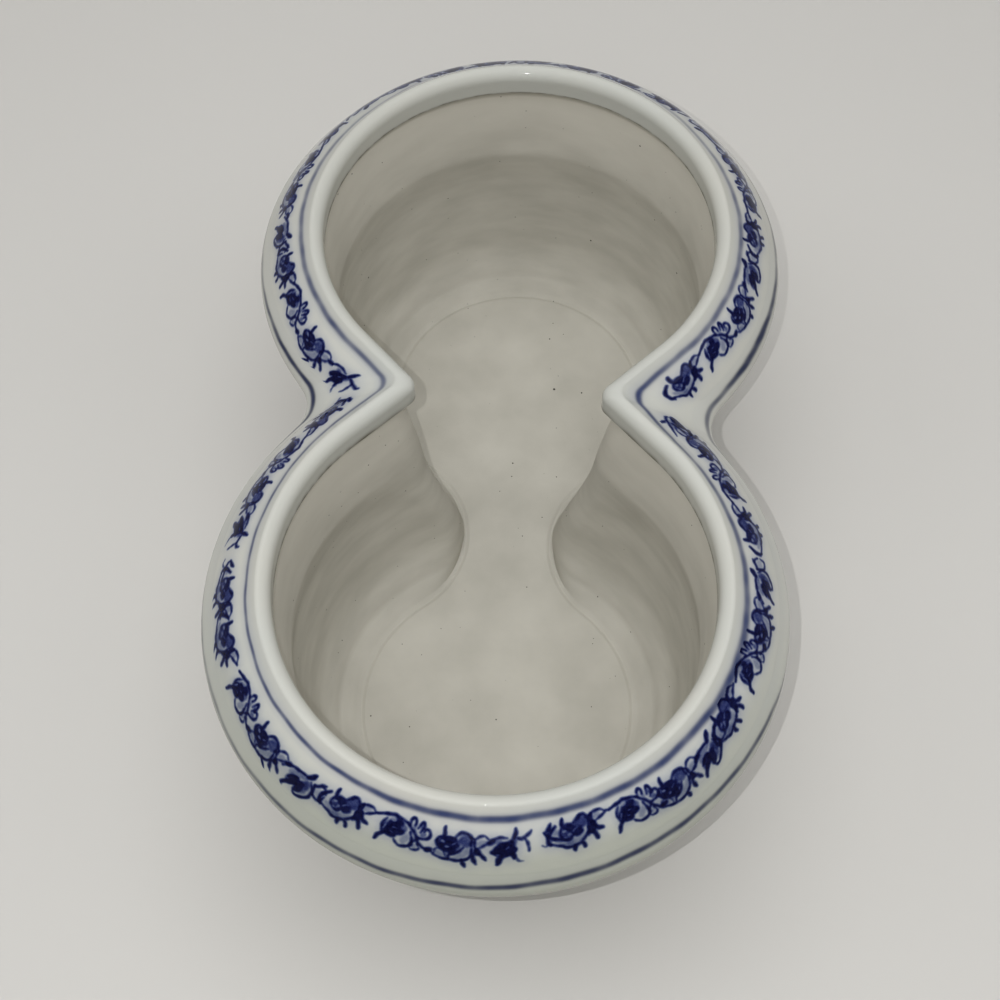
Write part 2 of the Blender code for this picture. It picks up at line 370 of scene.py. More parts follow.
# Glazed porcelain: white body under a clear, glossy glaze that flowed when it was fired. It gives
# soft cool white, sharp small highlights and cobalt that bleeds a little under the glass.
def glazedPorcelain():
    look = {
        "white": "#BEBCB3", "poolTint": "#B5B8B4", "roughness": 0.05, "ior": 1.5, "specular": 0.12,
        # from bare glaze through wash to pooled cobalt, over the share of pigment
        "cobalt": ((0.0, "#FFFFFF"), (0.1, "#DFE2F1"), (0.25, "#A9B0CD"), (0.45, "#6A75A6"),
                   (0.65, "#3B4688"), (0.82, "#161D5C"), (1.0, "#020439")),
        # pigment gathers and thins out within a stroke: mm apart, least and most of it
        "gather": 0.9, "gatherShare": (0.88, 1.08),
        "clouds": 60,            # mm between soft changes of the white
        "lineInk": "#2F3A5E", "outerInk": "#2F344A",    # the thin wash of the two lines comes out greyer
        "shadeAndStainInk": "#5B574A",      # brown line where the glaze ends: partly painted shade under the lip, partly stain
        # painted shade where less light falls on the front slope: colour, and mm where it starts
        # and where it is full
        "paintedFrontShade": "#A7A99F", "paintedShadeFront": (-70, -140), "paintedShadeSlope": (121, 113),
        # slow waves of the run glaze, and its fine peel: size and depth in mm
        "waves": ((9.0, 0.02), (1.7, 0.022)),
    }
    material = bpy.data.materials.new("glazedPorcelain")
    material.use_nodes = True
    tree = material.node_tree
    shader = tree.nodes["Principled BSDF"]
    place = addNode(tree, "ShaderNodeTexCoord")
    onPot = {"Vector": place.outputs["Object"]}
    cobalt = addNode(tree, "ShaderNodeAttribute", {"attribute_name": "cobalt"})
    grain = addNode(tree, "ShaderNodeTexNoise",
                    {"Scale": 1 / (look["gather"] * mm), "Detail": 3, "Roughness": 0.6}, onPot)
    least, most = look["gatherShare"]
    uneven = addNode(tree, "ShaderNodeMapRange", noiseSpan | {3: least, 4: most},
                     {0: grain.outputs["Fac"]})
    amount = addNode(tree, "ShaderNodeMath", {"operation": "MULTIPLY", "use_clamp": True},
                     {0: cobalt.outputs["Fac"], 1: uneven.outputs[0]})
    cloud = addNode(tree, "ShaderNodeTexNoise", {"Scale": 1 / (look["clouds"] * mm), "Detail": 2}, onPot)
    tints = {6: linearColour(look["white"]), 7: linearColour(look["poolTint"])}
    white = addNode(tree, "ShaderNodeMix", {"data_type": "RGBA"} | tints, {0: cloud.outputs["Fac"]})
    ramp = addNode(tree, "ShaderNodeValToRGB", None, {"Fac": amount.outputs[0]})
    stops, elements = look["cobalt"], ramp.color_ramp.elements
    for element, (position, colour) in zip(elements, (stops[0], stops[-1])):
        element.position, element.color = position, linearColour(colour)
    for position, colour in stops[1:-1]:
        elements.new(position).color = linearColour(colour)
    at = addNode(tree, "ShaderNodeSeparateXYZ", None, {0: place.outputs["Object"]})
    # painted shade on the front slope, growing towards the front and down the slope
    reaches = []
    for axis, (start, full) in (("Y", look["paintedShadeFront"]), ("Z", look["paintedShadeSlope"])):
        reach = addNode(tree, "ShaderNodeMapRange", {1: start * mm, 2: full * mm}, {0: at.outputs[axis]})
        reaches.append(reach.outputs[0])
    # share of painted shade at each point
    thick = addNode(tree, "ShaderNodeMath", {"operation": "MULTIPLY"}, dict(enumerate(reaches)))
    paintedFrontShade = addNode(tree, "ShaderNodeMix", {"data_type": "RGBA", 7: linearColour(look["paintedFrontShade"])},
                     {0: thick.outputs[0], 6: white.outputs[2]})
    inked = paintedFrontShade
    # pigment of the two lines, and the dark edge line where the glaze ends, partly painted shade under the
    # lip's edge and partly a stain
    for attribute, ink in (("innerLine", "lineInk"), ("outerLine", "outerInk"), ("glazeEdgeShadeAndStain", "shadeAndStainInk")):
        share = addNode(tree, "ShaderNodeAttribute", {"attribute_name": attribute})
        inked = addNode(tree, "ShaderNodeMix", {"data_type": "RGBA", 7: linearColour(look[ink])},
                        {0: share.outputs["Fac"], 6: inked.outputs[2]})
    painted = addNode(tree, "ShaderNodeMix", {"data_type": "RGBA", "blend_type": "MULTIPLY", 0: 1.0},
                      {6: inked.outputs[2], 7: ramp.outputs["Color"]})
    normal = None
    for size, depth in look["waves"]:
        waves = addNode(tree, "ShaderNodeTexNoise", {"Scale": 1 / (size * mm), "Detail": 1}, onPot)
        links = {"Height": waves.outputs["Fac"]} | ({"Normal": normal} if normal else {})
        bump = addNode(tree, "ShaderNodeBump", {"Distance": depth * mm, "Strength": 1.0}, links)
        normal = bump.outputs["Normal"]
    tree.links.new(painted.outputs[2], shader.inputs["Base Color"])
    tree.links.new(normal, shader.inputs["Normal"])
    shader.inputs["Specular IOR Level"].default_value = look["specular"]
    shader.inputs["Roughness"].default_value = look["roughness"]
    shader.inputs["IOR"].default_value = look["ior"]
    return material


# Unglazed porcelain: bare fired clay, cast in a mould and sponged. It is dull and warm grey, with a
# fine grain and a few dark iron specks.
def bareClay():
    look = {
        "clay": "#AFACA2", "clayPale": "#BFBCB2", "speck": "#3B3833", "roughness": 0.85, "ior": 1.45,
        "grain": 0.45, "grainDepth": 0.05,    # mm
        "streak": 25, "flatter": 3,           # casting leaves level streaks: mm long, length over height
        # painted light and shade by height: the wall painted paler towards the lip, where more light falls,
        # and a dark band right under the glaze line, partly painted shade under the lip and partly a brown
        # stain: colour, level in mm where it starts and where it is full, and its greatest share
        "lightShadeAndStainBands": (("#D2CEC3", 78, 118, 0.8), ("#7C786C", 110.8, 112.6, 0.55)),
        # mm between iron specks, and the largest one as a share of that
        "specks": ((16.0, 0.036), (9.0, 0.045), (4.6, 0.06)),
    }
    material = bpy.data.materials.new("bareClay")
    material.use_nodes = True
    tree = material.node_tree
    shader = tree.nodes["Principled BSDF"]
    place = addNode(tree, "ShaderNodeTexCoord")
    onPot = {"Vector": place.outputs["Object"]}
    streaks = addNode(tree, "ShaderNodeMapping", {"Scale": (1, 1, look["flatter"])}, onPot)
    cloud = addNode(tree, "ShaderNodeTexNoise", {"Scale": 1 / (look["streak"] * mm), "Detail": 4},
                    {"Vector": streaks.outputs[0]})
    mottle = addNode(tree, "ShaderNodeMapRange", noiseSpan, {0: cloud.outputs["Fac"]})
    tints = {6: linearColour(look["clay"]), 7: linearColour(look["clayPale"])}
    coloured = addNode(tree, "ShaderNodeMix", {"data_type": "RGBA"} | tints, {0: mottle.outputs[0]})
    level = addNode(tree, "ShaderNodeSeparateXYZ", None, {0: place.outputs["Object"]})
    # painted light and shade: the wall paler near the lip, darker right under the glaze line
    for colour, start, full, most in look["lightShadeAndStainBands"]:
        share = addNode(tree, "ShaderNodeMapRange", {1: start * mm, 2: full * mm, 4: most},
                        {0: level.outputs["Z"]})
        coloured = addNode(tree, "ShaderNodeMix", {"data_type": "RGBA", 7: linearColour(colour)},
                           {0: share.outputs[0], 6: coloured.outputs[2]})
    for spacing, largest in look["specks"]:
        cells = addNode(tree, "ShaderNodeTexVoronoi", {"Scale": 1 / (spacing * mm)}, onPot)
        sizes = addNode(tree, "ShaderNodeSeparateColor", None, {0: cells.outputs["Color"]})
        limit = addNode(tree, "ShaderNodeMath", {"operation": "MULTIPLY", 1: largest},
                        {0: sizes.outputs[0]})
        isSpeck = addNode(tree, "ShaderNodeMath", {"operation": "LESS_THAN"},
                          {0: cells.outputs["Distance"], 1: limit.outputs[0]})
        coloured = addNode(tree, "ShaderNodeMix", {"data_type": "RGBA", 7: linearColour(look["speck"])},
                           {0: isSpeck.outputs[0], 6: coloured.outputs[2]})
    grain = addNode(tree, "ShaderNodeTexNoise", {"Scale": 1 / (look["grain"] * mm), "Detail": 2}, onPot)
    bump = addNode(tree, "ShaderNodeBump", {"Distance": look["grainDepth"] * mm, "Strength": 0.6},
                   {"Height": grain.outputs["Fac"]})
    tree.links.new(coloured.outputs[2], shader.inputs["Base Color"])
    tree.links.new(bump.outputs["Normal"], shader.inputs["Normal"])
    shader.inputs["Roughness"].default_value = look["roughness"]
    shader.inputs["IOR"].default_value = look["ior"]
    return material


glaze, clay = glazedPorcelain(), bareClay()
print("materials made")

# the glaze coat: dense levels where the lines are painted, wider ones elsewhere
coatLook = {
    "columns": 150, "grading": 1.35, "wallStep": 2.2, "coveSteps": 12, "insideEvery": 6,
    # bands of levels: how wide the dark edge line is, partly painted shade and partly stain, where the
    # next bands end out from the inner line, and the step in each
    "brownEdge": 1.4, "bandEnds": (-1.8, 1.8, 19.4, 24.4), "steps": (0.2, 0.8, 0.22, 1.0, 0.22, 0.8),
}
stations = gradedStations(coatLook["columns"], coatLook["grading"])
bandEnds = [across[0], across[0] + coatLook["brownEdge"], *coatLook["bandEnds"], across[-1]]
bands = zip(bandEnds, bandEnds[1:], coatLook["steps"])
vList = np.concatenate([np.arange(start, end, step) for start, end, step in bands] + [bandEnds[-1:]])
outer = [rimLevel(v) for v in vList] + finishedWall()[1:]
levels = outer + offsetRun(outer, -form["glaze"])[::-coatLook["insideEvery"]]
rings = np.array([outline(level, stations) for level in levels])
rowCount, columnCount = rings.shape[:2]
borderLook = {
    # the strip that carries the vine: its edges out from the inner line, its grid, how it sits on the coat
    "inner": 0.4, "outer": 18.6, "rows": 59, "columns": (620, 70, 20),
    "proud": 0.04, "sunk": 0.06, "sinkOver": 1.2, "thick": 0.2, "underEvery": 8,
    "fadeOver": 2.4, "fadeBelow": 0.3,    # mm at its edges over which pigment fainter than this fades
    # how a loaded brush and the firing widen and soften a stroke, and its width at its ends as a share
    "weight": 1.12, "softer": 0.4, "ragged": 0.06, "lifted": 0.45, "halo": 0.028, "haloReach": 2.2,
    # mm between a stroke's dabs, how it tapers, and the waves along and across that leave it ragged
    "dab": 0.25, "tips": (0.02, 0.98), "taper": 0.6, "raggedWaves": ((1.9, 1.1), (-1.3, 2.7)),
    # the hand: how much a motif is lifted, stretched, leant over and bent, at most how many times that,
    # and how far its strokes reach. It leans about its middle, and the broad one sits nearer the lip
    "seed": 21, "lift": 0.15, "stretch": 0.03, "lean": 0.05, "bend": 0.16, "most": 1.6, "motifReach": 13,
    "middle": 9, "broadHigher": 1.9,
    "starts": ("bud", "star", "star", "star"), "endLeaves": (True, True, True, False),
    # runs of the vine: a bud or star leaf, the flowers and an end leaf, each by its mm round from the back
    # middle and how far out the hand had wandered there
    "runs": (
        ((223.0, -0.6), (235.5, -0.3), (252.8, -0.6), (270.4, -0.3), (289.2, -1.1), (305.4, -0.8),
         (320.8, -1.6), (338.9, -2.2), (350.8, 0.1), (366.2, 0.2), (381.7, -0.7), (400.2, -1.6),
         (411.8, -1.5)),
        ((419.6, 0), (436.2, 0.1), (454.2, 0.1), (471.6, 0.1), (487.3, 1.9), (504.4, 2.4), (521.6, 1.8),
         (541.4, 2.4), (557.4, 1.4), (570.6, 1.6)),
        ((578.6, 0.2), (595.0, 0.4), (613.2, 0.5), (631.4, 0.8), (643.2, 1.8)),
        ((650.7, 2.5), (669.3, 1.8), (688.2, 1.0), (704.3, 0.2), (719.6, 1.3), (738.0, 2.0), (755.4, 2.3),
         (773.0, 2.2), (790.0, 0.5), (808.0, -0.4), (826.0, -3.0), (844.0, -3.3), (3.0, -3.3),
         (21.5, -3.3), (40.5, -3.0), (60.0, -1.2), (80.0, 0.7), (97.4, 1.3), (114.3, 2.7), (132.2, -1.0),
         (149.4, -1.8), (166.8, -0.6), (185.8, -0.9), (203.4, -0.4), (213.5, -0.6)),
    ),
}
lineLook = {
    # where the brush went, in mm round from the back middle: place across, half width, share of pigment
    "inner": (
        (0, 3.1, 1.1, 0.12), (58, 1.4, 1.1, 0.15), (84, 0.1, 1.1, 0.22), (114, 1.2, 1.1, 0.34),
        (144, 1.2, 1.1, 0.42), (168, 0.4, 1.1, 0.4), (198, -0.1, 1.1, 0.4), (207, 0.2, 1.0, 0.5),
        (211, 0.7, 0.9, 0.6), (215, 0.9, 0.9, 0.62), (219, 0.4, 0.9, 0.6), (224, -1.1, 1.0, 0.5),
        (230, -2.3, 1.0, 0.4), (242, -1.5, 1.0, 0.4), (264, -0.2, 1.1, 0.45), (288, 0.9, 1.2, 0.5),
        (324, 1.4, 1.5, 0.62), (350, 0.1, 1.2, 0.6), (376, -0.1, 1.1, 0.6), (400, -0.6, 1.1, 0.62),
        (420, -0.3, 1.1, 0.66), (456, -0.5, 1.0, 0.64), (480, 0, 0.7, 0.58), (520, 0.4, 0.6, 0.5),
        (560, -0.1, 0.6, 0.44), (606, -0.8, 0.7, 0.42), (636, -0.3, 0.8, 0.36), (666, -0.8, 1.0, 0.5),
        (700, -0.3, 1.1, 0.42), (740, 0.9, 1.1, 0.36), (768, 0.2, 1.1, 0.25), (792, -0.7, 1.1, 0.17),
        (822, 2.5, 1.1, 0.12),
    ),
    "outer": (
        (0, 23.0, 0.9, 0.1), (120, 22.9, 0.9, 0.2), (144, 22.8, 0.9, 0.28), (162, 22.2, 1.2, 0.6),
        (176, 21.8, 1.4, 0.8), (190, 21.8, 1.3, 0.78), (204, 22.2, 0.9, 0.5), (220, 22.6, 0.8, 0.3),
        (236, 23.8, 0.7, 0.04), (288, 25.6, 0.7, 0.05), (302, 25.6, 0.8, 0.3), (316, 23.6, 0.8, 0.42),
        (336, 22.3, 0.8, 0.54), (368, 21.5, 0.9, 0.64), (400, 21.5, 0.95, 0.7), (432, 22.3, 0.8, 0.66),
        (468, 23.0, 0.75, 0.58), (492, 23.4, 0.8, 0.44), (516, 23.7, 0.8, 0.3), (540, 23.3, 0.8, 0.22),
        (564, 24.2, 0.7, 0.2), (588, 25.4, 0.6, 0.3), (618, 25.2, 0.6, 0.3), (630, 22.8, 0.7, 0.4),
        (641, 21.8, 0.7, 0.7), (660, 22.0, 0.9, 0.84), (674, 22.3, 0.9, 0.6), (690, 22.8, 0.8, 0.36),
        (712, 23.7, 0.8, 0.12), (730, 23.8, 0.8, 0.05),
    ),
    # small unevenness of place and of pigment: depth, pace per mm and phase of each wave
    "wander": ((0.12, 0.21, 0), (0.08, 0.47, 0)), "fade": ((0.12, 0.33, 1), (0.08, 0.83, 0)),
    "crisp": 2.5, "deepen": 2.3,      # how sharp a line's edge is, and how fast more pigment darkens it
    "halo": 0.1,
    "bleed": ((0.05, 0.014), 2.4),    # faint cobalt inside and outside the vine, and how far it spreads
}
# the glaze's dark edge line, partly painted shade under the lip's edge and partly a brown stain: a
# hair line at the back and front, and wider at the sides, in mm
edgeShadeAndStainLook = {"share": 0.62, "waves": ((0.2, 0.37, 0), (0.15, 1.13, 2)), "width": 0.45, "wider": 1.3}


def waver(along, waves):
    # slow unevenness round the border: the sum of waves given by depth, pace per mm and phase
    return sum(depth * np.sin(along * pace + phase) for depth, pace, phase in waves)


def linePigment(along, out):
    # cobalt that each of the two brushed lines leaves at places round and across the border
    amounts = {}
    for line in ("inner", "outer"):
        keys = np.array(lineLook[line]).T
        centre, half, share = (np.interp(along, keys[0], row, period=wholeWay) for row in keys[1:])
        off = np.abs(out - centre - waver(along, lineLook["wander"]))
        share = share * (1 + waver(along, lineLook["fade"]))
        halo = lineLook["halo"] * share * np.exp(-((off / lineLook["bleed"][1]) ** 2))
        stroke = share * np.exp(-((off / half) ** lineLook["crisp"])) + halo
        amounts[line + "Line"] = 1 - (1 - stroke.clip(0, 1)) ** lineLook["deepen"]
    return amounts


def coatPaint(count):
    # tint, lines and the dark edge line, partly painted shade, at each point of the coat; levels below
    # the rim carry none
    quarter = np.array([alongBorder(levels[row], stations) for row in range(len(vList))])
    right = np.concatenate([quarter, wholeWay / 2 - quarter[:, -2::-1]], 1)
    along = np.concatenate([right, wholeWay - right[:, -2:0:-1]], 1)
    out = np.broadcast_to(vList[:, None], along.shape)
    faint, reach = lineLook["bleed"]
    past = (borderLook["inner"] - out).clip(0) + (out - borderLook["outer"]).clip(0)
    paint = linePigment(along, out)
    paint["cobalt"] = np.where(out < borderMiddle, *faint) * np.exp(-((past / reach) ** 2))
    # dark edge line where the glaze ends: partly painted shade of the recess under the lip's edge, partly a
    # brown stain
    widths = edgeShadeAndStainLook["width"] + edgeShadeAndStainLook["wider"] * np.sin(2 * math.pi * along / wholeWay) ** 2
    uneven = edgeShadeAndStainLook["share"] + waver(along, edgeShadeAndStainLook["waves"])
    paint["glazeEdgeShadeAndStain"] = uneven * np.exp(-(((out - vList[0]) / widths) ** 2))
    plain = np.zeros((count - len(vList), along.shape[1]))
    return {name: np.concatenate([amount, plain]) for name, amount in paint.items()}


coat = buildMesh("glazeCoat", rings.reshape(-1, 3), ringFaces(rowCount, columnCount, True), glaze,
                 coatPaint(rowCount))
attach(coat, "root")
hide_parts("outer_glaze")
print("glaze coat made", len(coat.data.polygons))

# The vine is painted with a small brush on a fine grid of points that lies on the coat. Places are in
# mm: first along the border from a motif's middle, then out across it from the inner line. A stroke
# is its path, its half width, how dark it is and how soft its edge is. One with a minus lifts cobalt.
flowerOpen = [
    # knot in the stem, and the pale leaf loop that grows from it
    ([(-12.0, 6.2), (-10.8, 6.6), (-9.9, 6.9)], 0.7, 0.88, 0.6),
    ([(-10.4, 5.9), (-9.3, 4.8), (-7.6, 4.9), (-6.2, 5.9), (-5.2, 5.6)], 0.36, 0.85, 0.5),
    ([(-10.2, 7.1), (-8.8, 8.0), (-7.2, 8.6), (-6.4, 9.2)], 0.36, 0.82, 0.5),
    ([(-6.1, 6.0), (-6.2, 7.8), (-6.7, 9.3)], 0.45, 0.85, 0.5),
    ([(-8.9, 6.5), (-7.4, 7.2)], 0.8, 0.2, 0.9),
    # round petal filled with wash, and its outline
    ([(-4.4, 6.6), (-2.7, 6.5)], 1.7, 0.56, 0.9),
    ([(-5.2, 7.6), (-5.1, 5.6), (-3.9, 4.5), (-2.2, 4.5), (-0.9, 5.5), (-0.3, 6.3)], 0.5, 0.86, 0.5),
    # dark heart, wide at the crown and pointed below
    ([(-0.8, 7.1), (1.2, 6.9), (3.4, 6.9)], 1.15, 0.86, 0.6),
    ([(-1.2, 8.4), (1.2, 8.7), (3.8, 8.5)], 1.25, 0.88, 0.6),
    ([(-0.4, 9.8), (1.0, 10.2), (2.4, 9.8)], 1.0, 0.88, 0.6),
    ([(-2.8, 8.6), (-1.0, 10.5), (1.0, 11.6), (1.2, 12.9)], 0.5, 0.88, 0.5),
    ([(3.0, 6.4), (3.1, 4.6), (2.9, 3.1)], 0.55, 0.9, 0.5),
    ([(-0.4, 6.2), (1.2, 6.0), (2.8, 6.2)], 0.4, 0.86, 0.4),
    ([(3.2, 6.1), (4.7, 6.5), (5.1, 7.9), (4.2, 9.2), (2.6, 10.2)], 0.45, 0.88, 0.5),
    ([(3.4, 7.4), (3.6, 7.7)], 0.8, 0.5, 0.7),
    ([(0.4, 8.6), (4.4, 8.4)], 1.5, 0.5, 0.8),
    ([(1.5, 8.9), (2.3, 9.2)], 0.34, -0.5, 0.6),
    ([(2.9, 7.6), (3.7, 7.3)], 0.4, -0.55, 0.6),
    ([(-0.6, 7.4), (0.6, 8.0)], 0.24, -0.35, 0.5),
    ([(-3.6, 5.6), (-1.8, 6.4), (-1.6, 7.6)], 0.22, 0.4, 0.5),
    # pale crescent petal with its long lower arc
    ([(-5.3, 7.4), (-5.4, 9.6), (-4.4, 11.8), (-2.2, 13.0), (0.8, 13.3), (3.4, 13.0), (5.2, 12.3),
      (6.6, 11.3)],
     0.45, 0.88, 0.5),
    ([(-4.2, 9.4), (-3.0, 11.2), (-0.8, 12.2)], 0.9, 0.2, 0.9),
    ([(2.2, 12.4), (2.7, 10.9), (4.2, 9.9), (5.4, 10.4), (5.7, 11.6)], 0.32, 0.7, 0.5),
    ([(3.4, 11.6), (4.8, 11.4)], 0.7, 0.24, 0.8),
    # leaf fingers and the short hanging strokes
    ([(-7.2, 9.4), (-6.5, 9.9)], 0.95, 0.9, 0.6),
    ([(-7.0, 9.8), (-8.4, 11.0), (-9.3, 12.4)], 0.58, 0.86, 0.5),
    ([(-5.8, 10.6), (-6.0, 12.2), (-6.5, 13.6)], 0.62, 0.88, 0.5),
    ([(-2.5, 12.9), (-3.1, 13.9), (-3.5, 14.8)], 0.6, 0.88, 0.5),
]
flowerClosed = [
    ([(-10.4, 4.6), (-8.8, 3.8), (-7.0, 4.1), (-5.8, 4.9)], 0.4, 0.85, 0.5),
    ([(-11.2, 4.9), (-9.2, 5.7), (-7.4, 6.6)], 0.4, 0.85, 0.5),
    ([(-6.2, 4.4), (-5.6, 6.0), (-5.8, 7.0)], 0.75, 0.9, 0.5),
    ([(-8.6, 5.0), (-7.2, 5.5)], 0.75, 0.2, 0.8),
    ([(-3.2, 5.9), (-2.0, 6.0)], 1.75, 0.6, 0.9),
    ([(-4.6, 7.6), (-4.8, 5.4), (-4.0, 4.1), (-2.6, 3.8), (-1.3, 4.8), (-0.3, 5.7)], 0.5, 0.86, 0.5),
    ([(-2.2, 8.2), (0.0, 8.8)], 1.15, 0.88, 0.6),
    ([(-0.4, 6.9), (1.2, 6.5), (2.8, 6.4)], 1.15, 0.88, 0.6),
    ([(0.2, 9.4), (1.4, 10.1), (2.8, 9.9)], 0.55, 0.86, 0.5),
    ([(3.6, 6.8), (4.0, 8.4), (3.2, 9.8)], 0.5, 0.86, 0.5),
    ([(1.2, 8.4), (2.6, 8.2)], 1.3, 0.72, 0.7),
    ([(2.4, 7.4), (3.0, 7.8)], 0.42, -0.55, 0.6),
    ([(1.2, 8.4), (2.0, 9.0)], 0.34, -0.45, 0.6),
    ([(-0.8, 7.2), (0.2, 7.9)], 0.24, -0.35, 0.5),
    ([(-3.8, 6.4), (-2.6, 6.9), (-1.4, 6.6)], 0.22, 0.4, 0.5),
    ([(3.2, 6.4), (3.3, 4.8), (3.1, 3.6)], 0.58, 0.9, 0.5),
    # lobed leaf at the far side, which runs down to the arc's end
    ([(5.4, 5.6), (6.5, 6.7), (7.8, 8.2), (8.0, 9.8), (7.2, 11.0)], 0.62, 0.9, 0.5),
    ([(-4.5, 8.0), (-4.1, 10.0), (-2.6, 11.6), (-0.4, 12.5), (2.0, 12.7), (4.0, 12.0), (6.2, 11.0),
      (7.6, 10.4)],
     0.46, 0.88, 0.5),
    ([(-3.0, 9.8), (-0.6, 11.2), (2.6, 11.2), (5.4, 9.6)], 0.95, 0.2, 0.9),
    ([(0.6, 11.6), (2.4, 11.6)], 0.7, 0.22, 0.8),
    ([(-6.6, 7.2), (-5.6, 8.2), (-5.4, 9.4)], 1.2, 0.9, 0.6),
    ([(-6.6, 8.2), (-7.8, 9.0), (-8.9, 9.4)], 0.66, 0.88, 0.5),
    ([(-6.0, 9.6), (-6.6, 11.0), (-6.9, 12.3)], 0.66, 0.88, 0.5),
    ([(-4.9, 9.2), (-4.3, 10.4)], 0.6, 0.88, 0.5),
    ([(-2.1, 12.2), (-2.7, 13.1), (-3.0, 14.0)], 0.62, 0.88, 0.5),
    ([(0.1, 12.6), (0.2, 13.6), (0.0, 14.5)], 0.62, 0.88, 0.5),
]
leafFan = [
    # knot, stem that rises into the arch, small pale petal and three rounded leaflets
    ([(-11.4, 11.0), (-10.6, 11.4)], 0.85, 0.9, 0.6),
    ([(-10.4, 11.2), (-8.8, 10.9), (-7.6, 9.8), (-6.9, 8.4), (-5.6, 6.8), (-4.2, 5.6), (-3.4, 4.7)],
     0.5, 0.88, 0.5),
    ([(-6.9, 8.6), (-5.8, 9.8), (-5.3, 11.2)], 0.4, 0.84, 0.5),
    ([(-7.4, 10.2), (-7.9, 11.4), (-7.2, 12.4), (-6.0, 12.5), (-5.3, 11.6)], 0.34, 0.8, 0.5),
    ([(-6.7, 10.9), (-6.5, 11.4)], 0.6, 0.2, 0.7),
    ([(-7.4, 8.3), (-9.3, 8.1), (-10.4, 7.2), (-10.5, 5.9), (-9.6, 5.2), (-8.8, 6.0)], 0.46, 0.86, 0.5),
    ([(-9.2, 6.9), (-8.4, 7.3)], 0.6, 0.45, 0.7),
    ([(-7.6, 6.4), (-8.5, 4.9), (-8.4, 3.8), (-7.7, 3.2), (-7.1, 4.2), (-6.8, 5.4)], 0.46, 0.88, 0.5),
    ([(-7.9, 5.2), (-7.6, 4.6)], 0.5, 0.55, 0.6),
    ([(-5.6, 4.6), (-5.5, 3.2), (-4.8, 2.8), (-4.2, 3.6), (-4.0, 4.9)], 0.46, 0.88, 0.5),
    ([(-5.9, 6.0), (-5.2, 4.6)], 0.5, 0.3, 0.7),
]
loopLink = [
    # open loop in the stem, with a leaf above it
    ([(-9.3, 10.6), (-8.4, 12.2), (-6.9, 12.6), (-5.6, 12.0)], 0.42, 0.84, 0.5),
    ([(-8.4, 7.2), (-7.1, 7.5), (-5.8, 8.2), (-4.6, 8.8)], 0.52, 0.86, 0.5),
    ([(-4.9, 8.6), (-5.2, 10.2), (-5.4, 11.8)], 0.42, 0.86, 0.5),
    ([(-9.2, 9.6), (-8.6, 8.4), (-7.4, 7.8)], 0.34, 0.8, 0.5),
    ([(-7.6, 10.0), (-6.6, 10.4)], 1.1, 0.14, 0.9),
]
archBroad = [
    # spike, and the long arc over the flower that runs on as the stem
    ([(-3.9, 5.8), (-2.8, 6.9), (-1.8, 7.8)], 0.8, 0.92, 0.5),
    ([(-2.2, 7.8), (0.0, 7.5), (2.2, 7.7), (4.2, 8.3), (5.9, 9.2), (7.4, 10.2)], 0.46, 0.88, 0.5),
    # large petal at the left: outline, wash and a pale patch
    ([(-3.6, 8.8), (-4.9, 10.8), (-4.6, 13.0), (-3.2, 14.8), (-1.4, 15.8), (0.1, 15.4), (0.7, 14.3)],
     0.5, 0.88, 0.5),
    ([(-2.6, 9.6), (-3.0, 11.4)], 1.1, 0.5, 0.9),
    ([(-2.8, 12.8), (-1.6, 14.2)], 0.9, 0.22, 0.8),
    ([(-1.0, 8.7), (1.6, 8.8), (4.0, 10.2)], 0.8, 0.32, 0.8),
    # dark heart, hatching and the long pointed tail
    ([(-0.8, 10.6), (-0.4, 12.4), (0.0, 14.2)], 1.35, 0.88, 0.6),
    ([(0.8, 10.1), (2.8, 11.0), (4.0, 12.1)], 0.5, 0.86, 0.5),
    ([(1.4, 11.0), (3.6, 12.6)], 1.4, 0.6, 0.8),
    ([(-2.2, 10.2), (-1.8, 13.0)], 1.2, 0.4, 0.9),
    ([(1.4, 10.9), (2.9, 12.0)], 0.26, -0.45, 0.5),
    ([(1.0, 10.9), (2.2, 12.2)], 1.5, 0.84, 0.6),
    ([(1.2, 11.9), (2.6, 13.2), (3.8, 14.2), (5.0, 15.9)], 0.72, 0.9, 0.5),
]
archLow = [
    ([(-3.5, 4.8), (-1.4, 4.1), (1.0, 3.5), (3.0, 4.0), (4.8, 4.6), (6.4, 5.0)], 0.52, 0.9, 0.5),
    # dark heart under the arch, with one pale patch and scallops at the far side
    ([(-1.4, 5.6), (1.6, 6.3)], 1.25, 0.88, 0.6),
    ([(-2.0, 7.9), (0.6, 8.2), (3.0, 8.0)], 1.4, 0.88, 0.6),
    ([(0.0, 9.7), (2.6, 9.6)], 0.95, 0.88, 0.6),
    ([(-2.0, 6.6), (2.6, 7.4)], 2.2, 0.5, 0.9),
    ([(0.6, 4.9), (2.0, 5.1)], 0.5, -0.55, 0.6),
    ([(3.2, 5.4), (4.4, 6.9), (4.4, 8.6), (3.9, 9.9)], 0.42, 0.86, 0.5),
    ([(3.2, 7.6), (3.1, 9.0)], 0.9, 0.62, 0.7),
    ([(3.2, 7.4), (3.5, 8.6)], 0.36, -0.5, 0.6),
    ([(-0.4, 7.2), (0.8, 7.4)], 0.24, -0.4, 0.5),
    ([(0.6, 8.9), (1.6, 8.7)], 0.24, -0.35, 0.5),
    ([(2.9, 9.4), (4.2, 10.6), (4.9, 11.9), (5.2, 13.2)], 0.6, 0.9, 0.5),
    # pale petal at the left
    ([(-4.8, 7.2), (-5.4, 9.0), (-5.4, 10.8), (-4.4, 12.0), (-2.6, 12.5), (-1.2, 11.8), (-0.2, 10.8)],
     0.46, 0.88, 0.5),
    ([(-4.0, 8.8), (-3.0, 10.8)], 1.0, 0.22, 0.9),
]
